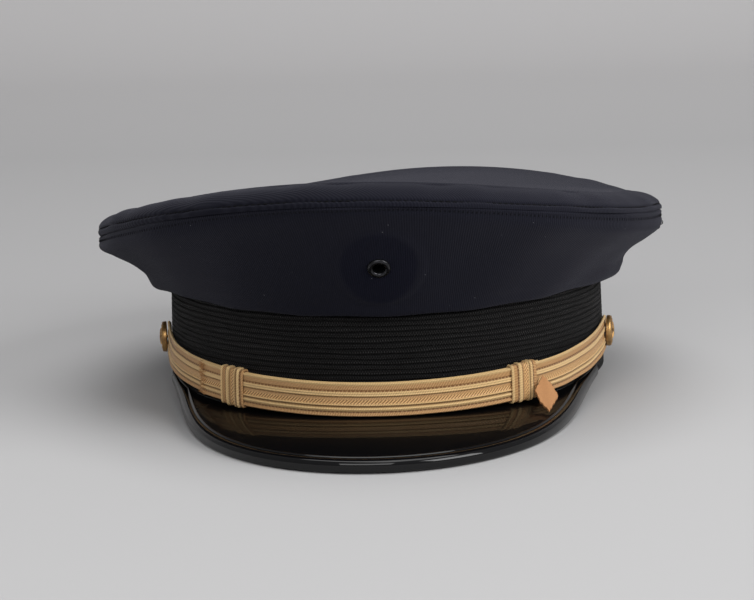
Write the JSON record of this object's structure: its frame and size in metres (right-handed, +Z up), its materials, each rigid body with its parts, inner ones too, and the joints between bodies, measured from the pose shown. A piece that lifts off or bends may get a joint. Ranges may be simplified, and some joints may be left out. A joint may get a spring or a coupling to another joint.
{
  "type": "military peaked cap",
  "caption": "Peaked cap with a wide soft crown on a hoop, ribbed band, glossy visor and a lace chin strap between two side buttons.",
  "frame": {"origin": "bottom centre of the cap's box, on the surface it rests on", "axes": "+Z up, -Y towards the visor, +X towards the wearer's left"},
  "size_m": [0.2272, 0.284, 0.0992],
  "materials": {
    "navy_twill": "matt wool twill",
    "black_braid": "ribbed mohair braid",
    "patent_leather": "high gloss patent",
    "black_leather": "smooth, semi-gloss",
    "gold_lace": "woven metallic lace",
    "tan_leather": "plain vegetable tanned",
    "gilt_brass": "aged gilt",
    "black_enamel": "black japan",
    "spring_steel": "plain",
    "buckram": "stiffened",
    "satin": "satin lining",
    "celluloid": "glossy sheet",
    "ribbon": "black ribbon"
  },
  "bodies": {
    "cap": {"braid_band": "black_braid", "band_frame": "buckram", "sweatband": "tan_leather", "sweatband_seam_tape": "ribbon", "sweatband_bow": "ribbon", "crown_front_panel": "navy_twill", "crown_left_quarter": "navy_twill", "crown_right_quarter": "navy_twill", "crown_top_panel": "navy_twill", "crown_hoop": "spring_steel", "rim_seam_cord": "black_braid", "front_stay": "buckram", "stay_spring": "spring_steel", "badge_patch": "black_leather", "badge_eyelet": "black_enamel", "eyelet_washer": "black_enamel", "lining_top": "satin", "lining_side": "satin", "sweat_shield": "celluloid", "visor_top_skin": "patent_leather", "visor_core": "buckram", "visor_underside": "black_leather", "visor_binding": "black_leather"},
    "chin_strap": {"chin_strap_under": "gold_lace", "chin_strap_over": "gold_lace", "chin_strap_tip": "tan_leather"},
    "right_keeper": {"right_keeper": "gold_lace"},
    "left_keeper": {"left_keeper": "gold_lace"},
    "right_button": {"right_button_shell": "gilt_brass", "right_button_back": "gilt_brass", "right_split_ring": "spring_steel"},
    "left_button": {"left_button_shell": "gilt_brass", "left_button_back": "gilt_brass", "left_split_ring": "spring_steel"}
  },
  "joints": [
    {"name": "chin_strap_swing", "type": "hinge", "parent": "cap", "child": "chin_strap", "pos_m": [0.00141, 0.00827, 0.02036], "axis": [-1, 0.0003, 0.0057], "range_deg": [0, 9]},
    {"name": "right_keeper_slide", "type": "hinge", "parent": "chin_strap", "child": "right_keeper", "pos_m": [0.01615, 0.00321, 0.02096], "axis": [-0.0095, -0.0479, 0.9988], "range_deg": [-2, 6]},
    {"name": "left_keeper_slide", "type": "hinge", "parent": "chin_strap", "child": "left_keeper", "pos_m": [-0.01332, 0.00328, 0.01997], "axis": [-0.0085, 0.038, -0.9992], "range_deg": [0, 4]},
    {"name": "right_button_spin", "type": "hinge", "parent": "cap", "child": "right_button", "pos_m": [-0.08572, 0.0083, 0.02086], "axis": [-0.995, -0.1001, 0.0045], "continuous": true},
    {"name": "left_button_spin", "type": "hinge", "parent": "cap", "child": "left_button", "pos_m": [0.08854, 0.00825, 0.01986], "axis": [0.995, -0.1001, 0.0045], "continuous": true}
  ]
}
